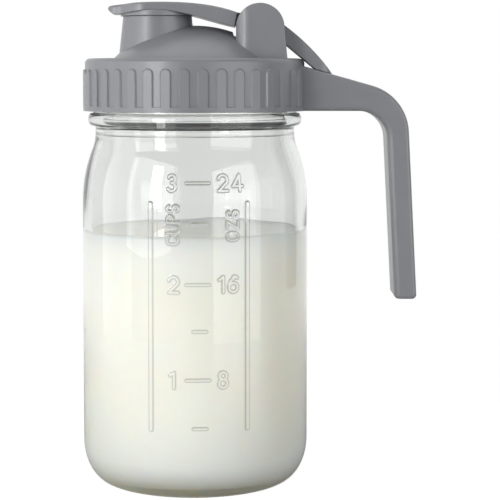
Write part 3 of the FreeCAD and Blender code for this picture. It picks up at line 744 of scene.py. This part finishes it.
# ---- jar and milk ------------------------------------------------------------------
@dataclass
class Jar:
    """The glass jar: heel, straight body, round shoulder, neck, bead, finish and lip.

    The outside is a profile against height.  The inside follows it one wall further in, uneven by a
    few tenths of a millimetre as pressed and blown glass is.  Each wave of that is given as its depth,
    how many times it goes round, its turn per millimetre of height, and its start, both in radians.
    """

    radius: float
    rim: float
    wall: float = 3.6
    floor: float = 6.0
    push_up: float = 2.2
    heel_tall: float = 18.0
    heel_inset: float = 12.0
    bearing: float = 2.4
    bearing_round: float = 0.6
    shoulder: float = 60.6
    neck: float = 41.65
    neck_fillet: float = 16.0
    neck_tall: float = 3.25
    bead_bottom: float = 149.65
    bead_tall: float = 5.25
    bead_radius: float = 44.7
    bead_root: float = 0.45
    bead_fillet: float = 1.5
    finish: float = 42.75
    finish_step: float = 0.3
    mouth: float = 38.7
    inner_heel: float = 9.0
    lip: float = 1.0
    inner_lip: float = 0.8
    inner_lip_drop: float = 1.2
    seam_below_bead: float = 3.55
    seam_proud: float = 0.13
    seam_width: float = 0.28
    # strength of the seam line's painted shade
    seam_shade: float = 0.75
    seam_reach: float = 0.8
    waves: tuple[tuple[float, float, float, float], ...] = (
        (0.16, 2.0, 0.03, 0.6), (0.10, 5.0, -0.06, 1.9), (0.05, 9.0, 0.11, 4.0), (0.06, 0.0, 0.21, 0.5),
    )
    wave_fade: float = 6.0
    wall_rows: int = 56
    coarse: float = 2.4
    coarse_angle: float = 4.0
    fine: float = 0.24
    glass: ClearGlass = ClearGlass()

    def __post_init__(self) -> None:
        """Works out where the shoulder starts, from the neck's height and the two radii."""
        self.shoulder_x = self.radius - self.shoulder
        self.fillet_x = self.neck + self.neck_fillet
        reach = self.shoulder + self.neck_fillet
        rise = math.sqrt(reach ** 2 - (self.fillet_x - self.shoulder_x) ** 2)
        self.turn = math.atan2(rise, self.fillet_x - self.shoulder_x)
        self.neck_start = self.bead_bottom - self.neck_tall
        self.shoulder_start = self.neck_start - rise
        self.scale = MeasuringScale(self.radius)

    def side_radius(self, height: np.ndarray, inset: float = 0.0) -> np.ndarray:
        """Radius of the side at each height, from the heel's top to the neck, moved in by inset.

        Straight up to the shoulder's start; then the shoulder's circle; then, from where the two
        circles touch, the neck's fillet, a circle on the outside; then the neck's own radius.
        """
        above = np.clip(height - self.shoulder_start, 0.0, None)
        below = np.clip(self.neck_start - height, 0.0, None)
        round_part = self.shoulder_x + np.sqrt(np.clip(self.shoulder ** 2 - above ** 2, 0.0, None))
        hollow = self.fillet_x - np.sqrt(np.clip(self.neck_fillet ** 2 - below ** 2, 0.0, None))
        meet = self.shoulder_start + self.shoulder * math.sin(self.turn)
        outside = np.where(height < meet, round_part, hollow)
        return outside - inset

    def outer_rows(self) -> Outline:
        """The outside from the middle of the base up to the rim."""
        ring = self.radius - self.heel_inset
        sphere = (((ring - self.bearing) ** 2) + self.push_up ** 2) / (2 * self.push_up)
        spread = math.degrees(math.asin((ring - self.bearing) / sphere))
        under = self.bead_bottom - self.bead_fillet
        seam = (self.seam() - self.seam_reach, self.seam() + self.seam_reach)
        bands = [*self.scale.height_bands(), seam]
        side = graded(self.heel_tall, under, self.coarse, self.fine, bands)
        half_bead = self.bead_tall / 2
        bead_at = self.bead_bottom + half_bead
        bead_top = bead_at + half_bead
        bead_in = self.finish + self.bead_root
        foot = self.bearing_round
        outline = Outline()
        outline.round((0, self.push_up - sphere), (sphere, sphere), 90, 90 - spread, steps=10)
        outline.round((ring - foot, foot), (foot, foot), -90, -60, steps=3)
        outline.round((ring, self.heel_tall), (self.heel_inset, self.heel_tall), -88, 0, steps=30)
        outline.through(self.side_radius(side), side)
        outline.round((self.neck + self.bead_fillet, under), (self.bead_fillet,) * 2, 180, 92, steps=8)
        outline.round((bead_in, bead_at), (self.bead_radius - bead_in, half_bead), -90, 90, steps=18)
        outline.straight((bead_in, bead_top), (self.finish, bead_top), steps=2)
        outline.straight(
            (self.finish, bead_top + self.finish_step), (self.finish, self.rim - self.lip), steps=6
        )
        outline.round((self.finish - self.lip, self.rim - self.lip), (self.lip, self.lip), 0, 90, steps=5)
        return outline

    def inner_rows(self) -> Outline:
        """The inside from the rim down to the middle of the floor."""
        radius = self.radius - self.wall
        heel = self.inner_heel
        heights = np.linspace(self.neck_start, self.floor + heel, self.wall_rows)
        body = np.minimum(self.side_radius(heights, self.wall), radius)
        body = np.maximum(body, self.mouth)
        lip = self.inner_lip
        mouth_top = self.rim - self.inner_lip_drop
        outline = Outline()
        outline.round((self.mouth + lip, self.rim - lip), (lip, lip), 90, 180, steps=3)
        outline.straight((self.mouth, mouth_top), (self.mouth, self.neck_start + 1), steps=8)
        outline.through(body, heights)
        outline.round((radius - heel, self.floor + heel), (heel, heel), -3, -90, steps=14)
        outline.straight((radius - heel - 1, self.floor), (0, self.floor), steps=8)
        return outline

    def seam(self) -> float:
        """Height of the mould ring's fine line round the neck."""
        return self.bead_bottom - self.seam_below_bead

    def columns(self) -> np.ndarray:
        """Angles round the jar: coarse, and fine where the scale needs it."""
        degree = self.radius * math.pi / 180
        half = 180 * degree
        steps = graded(-half, half, self.coarse_angle * degree, self.fine, self.scale.around_bands())
        return steps[:-1] / self.radius

    def unevenness(self, angle: np.ndarray, height: np.ndarray) -> np.ndarray:
        """Long shallow waves of the inner wall: a sum of sines round the jar and up it."""
        return sum(
            depth * np.sin(times * angle + rise * height + start)
            for depth, times, rise, start in self.waves
        )

    def build(self) -> bpy.types.Object:
        """Makes the jar's mesh and dresses it.

        Returns:
            The glass piece.
        """
        outer = self.outer_rows().points()
        inner = self.inner_rows().points()
        rows = np.concatenate([outer, inner])
        angles = self.columns()
        radii = np.repeat(rows[:, :1], len(angles), axis=1)
        heights = np.repeat(rows[:, 1:], len(angles), axis=1)
        outside = slice(0, len(outer))
        around = self.radius * angles[None, :]
        raised, sides = self.scale.relief(around, heights[outside])
        raised[heights[outside] < self.heel_tall] = 0.0
        line = np.exp(-(((heights[outside] - self.seam()) / self.seam_width) ** 2))
        radii[outside] += raised + self.seam_proud * line
        # painted shade for the glass: the marks' outlines and the mould seam line, kept as a point attribute
        edges = np.zeros_like(radii)
        edges[outside] = np.maximum(sides, self.seam_shade * line)
        inside = slice(len(outer), len(rows))
        fade = np.clip((heights[inside] - self.floor) / self.wave_fade, 0.0, 1.0)
        fade *= np.clip((self.neck_start - heights[inside]) / self.wave_fade, 0.0, 1.0)
        radii[inside] += fade * self.unevenness(angles[None, :], heights[inside])
        piece = revolved("jar_glass", radii, heights, angles)
        shade = piece.data.attributes.new(EDGE_SHADE, "FLOAT", "POINT")
        shade.data.foreach_set("value", np.concatenate([edges[:1, 0], edges[1:-1].ravel(), edges[-1:, 0]]))
        piece.data.materials.append(self.glass.make())
        return piece


@dataclass
class Milk:
    """The milk: the jar's inside up to the level, a little into the wall, with a meniscus."""

    jar: Jar
    level: float
    bite: float = 0.35
    meniscus: float = 0.9
    meniscus_reach: float = 1.6
    top_rows: int = 60
    columns: int = 192

    def build(self) -> bpy.types.Object:
        """Makes the milk's mesh: floor, heel, wall, and a top that climbs towards the glass.

        Returns:
            The milk piece.
        """
        jar = self.jar
        wall = jar.radius - jar.wall + self.bite
        heel = jar.inner_heel + self.bite
        low = jar.floor - self.bite
        outline = Outline()
        outline.straight((0, low), (wall - heel - 1, low), steps=8)
        outline.round((wall - heel, low + heel), (heel, heel), -90, 0, steps=14)
        outline.straight((wall, low + heel), (wall, self.level + self.meniscus), steps=60)
        top = wall - np.linspace(0.0, 1.0, self.top_rows) ** 2 * wall
        rise = self.meniscus * np.exp(-(wall - top) / self.meniscus_reach)
        outline.through(top, self.level + rise)
        rows = outline.points()
        angles = np.linspace(-math.pi, math.pi, self.columns + 1)[:-1]
        radii = np.repeat(rows[:, :1], len(angles), axis=1)
        heights = np.repeat(rows[:, 1:], len(angles), axis=1)
        fade = np.clip((heights - jar.floor) / jar.wave_fade, 0.0, 1.0)
        share = np.clip(radii / wall, 0.0, 1.0) ** 4
        radii += fade * share * jar.unevenness(angles[None, :], heights)
        radii[0] = 0.0
        radii[-1] = 0.0
        piece = revolved("milk_fill", radii, heights, angles)
        piece.data.materials.append(WholeMilk(self.level).make())
        return piece


# ---- lid ---------------------------------------------------------------------------
@dataclass
class LidSet:
    """Finishes for the lid and the two pieces that turn on its hinge."""

    grey: Colour = (0.226, 0.230, 0.246, 1.0)
    grey_pale: Colour = (0.238, 0.242, 0.258, 1.0)

    def dress(self, nodes: Mapping[str, bpy.types.Object]) -> None:
        """Gives each construction node its plastic.

        Args:
            nodes: the frame's nodes by name.
        """
        finishes = {
            "lid": SatinPlastic("lid_plastic", self.grey, self.grey_pale),
            "flip_cap": SatinPlastic("cap_plastic", self.grey, self.grey_pale),
            "carry_loop": SatinPlastic("loop_plastic", self.grey, self.grey_pale, roughness=0.38),
        }
        for name, finish in finishes.items():
            material = finish.make()
            for slot in nodes[name].material_slots:
                slot.material = material
            log.info("%s: %s", name, finish.name)


# ---- studio ------------------------------------------------------------------------
@dataclass(frozen=True)
class Softbox:
    """A soft lamp: an upright panel at one side, facing the pitcher's axis.

    Its azimuth and its width are degrees round the pitcher, from the front towards +X; low and high are
    the elevations of its lower and upper edge, seen from the pitcher's middle.
    """

    name: str
    azimuth: float
    width: float
    low: float
    high: float
    radiance: float
    distance: float = 1.0
    middle: float = 0.1

    def hang(self) -> None:
        """Adds the lamp, as bright per area as its radiance says."""
        low, high = (self.middle + self.distance * math.tan(math.radians(e)) for e in (self.low, self.high))
        width = 2.0 * self.distance * math.tan(math.radians(self.width / 2))
        turn = math.radians(self.azimuth)
        data = bpy.data.lights.new(self.name, "AREA")
        data.shape = "RECTANGLE"
        data.size = width
        data.size_y = high - low
        data.energy = self.radiance * math.pi * width * (high - low)
        lamp = bpy.data.objects.new(self.name, data)
        lamp.location = (self.distance * math.sin(turn), -self.distance * math.cos(turn), (low + high) / 2)
        lamp.rotation_euler = (math.radians(90.0), 0.0, turn)
        bpy.context.scene.collection.objects.link(lamp)


@dataclass
class Studio:
    """White surroundings, a pale floor, soft lamps and the camera."""

    floor_radius: float = 0.7
    floor_drop: float = 0.00005
    floor_corners: int = 96
    camera_place: tuple[float, float, float] = (0.0231, -0.714, 0.17057)
    camera_tilt: float = 3.366
    lens: float = 122.4
    sensor: float = 36.0
    shift_down: float = 0.15
    room_light: float = 0.12
    behind: Point = (-0.2, 0.4)
    floor: PaleFloor = PaleFloor()
    lamps: tuple[Softbox, ...] = (
        Softbox("key_box", -45.0, 50.0, -6.0, 31.0, 2.0),
        Softbox("key_core", -38.0, 11.0, -3.0, 28.0, 7.5, distance=0.98),
        Softbox("side_box", -84.0, 40.0, -25.0, 30.0, 1.2),
        Softbox("fill_box", 45.0, 50.0, -14.0, 27.0, 2.0),
    )
    top_height: float = 1.0
    top_forward: float = 0.1
    top_width: float = 0.8
    top_radiance: float = 0.95

    def surroundings(self) -> None:
        """Lights the room evenly, and shows it white to the eye, through glass and in reflections.

        Reflections see it white only behind the pitcher.  A ray that a surface has scattered brings
        the room's even light, even when it passes through glass later.
        """
        world = bpy.data.worlds.new("room")
        bpy.context.scene.world = world
        tree = Tree(world)
        way = tree.axes(tree.node("ShaderNodeTexCoord").outputs["Generated"])
        mirrored = tree.ray("Is Glossy Ray") * way[1].between(*self.behind)
        scattered = tree.ray("Diffuse Depth").between(0.4, 0.6)
        through = tree.ray("Is Transmission Ray") * (1.0 - scattered)
        seen = tree.ray("Is Camera Ray").larger(through).larger(mirrored)
        strength = self.room_light + seen * (1.0 - self.room_light)
        back = tree.node("ShaderNodeBackground", None, {"Color": (1, 1, 1, 1), "Strength": strength})
        tree.node("ShaderNodeOutputWorld", None, {0: back.outputs[0]})

    def lay_floor(self) -> None:
        """A wide disc just under the standing plane."""
        turn = np.linspace(0.0, 2.0 * math.pi, self.floor_corners + 1)[:-1]
        rim = np.stack([np.cos(turn), np.sin(turn), np.zeros_like(turn)], axis=1) * self.floor_radius
        rim[:, 2] = -self.floor_drop
        mesh = bpy.data.meshes.new("floor")
        mesh.from_pydata(rim.tolist(), [], [list(range(len(rim)))])
        mesh.materials.append(self.floor.make())
        floor = bpy.data.objects.new("floor", mesh)
        bpy.context.scene.collection.objects.link(floor)

    def hang_top(self) -> None:
        """A square panel overhead, facing down."""
        data = bpy.data.lights.new("top_box", "AREA")
        data.size = self.top_width
        data.energy = self.top_radiance * math.pi * self.top_width ** 2
        lamp = bpy.data.objects.new("top_box", data)
        lamp.location = (0.0, -self.top_forward, self.top_height)
        bpy.context.scene.collection.objects.link(lamp)

    def place_camera(self) -> None:
        """A long lens at the pitcher's rim height, tilted slightly down, its frame shifted down."""
        data = bpy.data.cameras.new("view")
        data.sensor_width = self.sensor
        data.lens = self.lens
        data.shift_y = -self.shift_down
        data.clip_start = 0.01
        data.clip_end = 20.0
        camera = bpy.data.objects.new("view", data)
        camera.location = self.camera_place
        camera.rotation_euler = (math.radians(90.0 - self.camera_tilt), 0.0, 0.0)
        bpy.context.scene.collection.objects.link(camera)
        bpy.context.scene.camera = camera

    def build(self) -> None:
        """Sets up the whole studio."""
        self.surroundings()
        self.lay_floor()
        for lamp in self.lamps:
            lamp.hang()
        self.hang_top()
        self.place_camera()
        bpy.context.scene.view_settings.view_transform = "Standard"


def main() -> None:
    """Builds the jar, the milk, the lid's finishes and the studio, in that order."""
    logging.basicConfig(level=logging.INFO, format="%(name)s: %(message)s")
    jar_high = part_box("jar")[1]
    milk_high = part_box("milk")[1]
    jar = Jar(radius=jar_high[0] / MM, rim=jar_high[2] / MM)
    glass = jar.build()
    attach(glass, BODY)
    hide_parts("jar")
    log.info("%s: %d faces", glass.name, len(glass.data.polygons))
    milk = Milk(jar, level=milk_high[2] / MM).build()
    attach(milk, BODY)
    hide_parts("milk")
    log.info("%s: %d faces", milk.name, len(milk.data.polygons))
    LidSet().dress(frame["nodes"])
    Studio().build()


if __name__ == "__main__":
    main()
